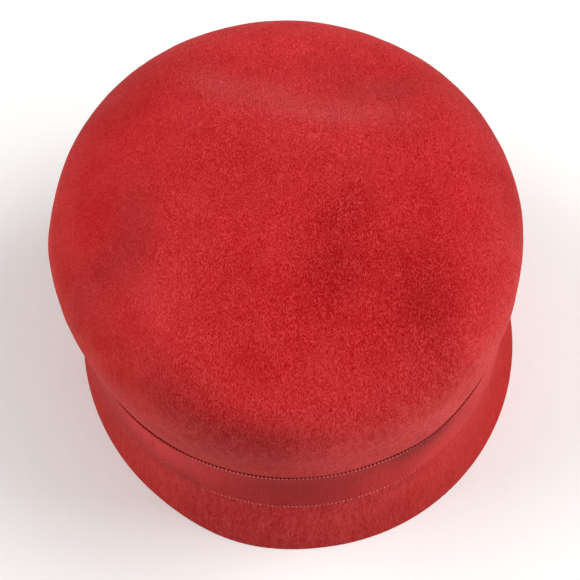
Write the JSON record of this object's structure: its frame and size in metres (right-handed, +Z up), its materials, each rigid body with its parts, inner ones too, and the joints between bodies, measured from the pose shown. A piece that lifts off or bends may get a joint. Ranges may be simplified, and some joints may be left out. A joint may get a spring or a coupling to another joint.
{
  "type": "cloche hat",
  "caption": "Red velour felt cloche hat with a low bubble crown, a short steep bell brim and a petersham ribbon round its waist.",
  "frame": {"origin": "middle of the bounding box on the plane of the brim's cut edge", "axes": "+Z up through the crown, -Y to the front, +X to the right when seen from the front"},
  "size_m": [0.1914, 0.2172, 0.1179],
  "materials": {
    "felt": "red velour felt with a short soft nap",
    "ribbon": "red petersham ribbon with fine ribs across it and scalloped edges"
  },
  "bodies": {
    "root": {"crown": "felt", "brim": "felt", "ribbon_band": "ribbon"}
  },
  "joints": []
}
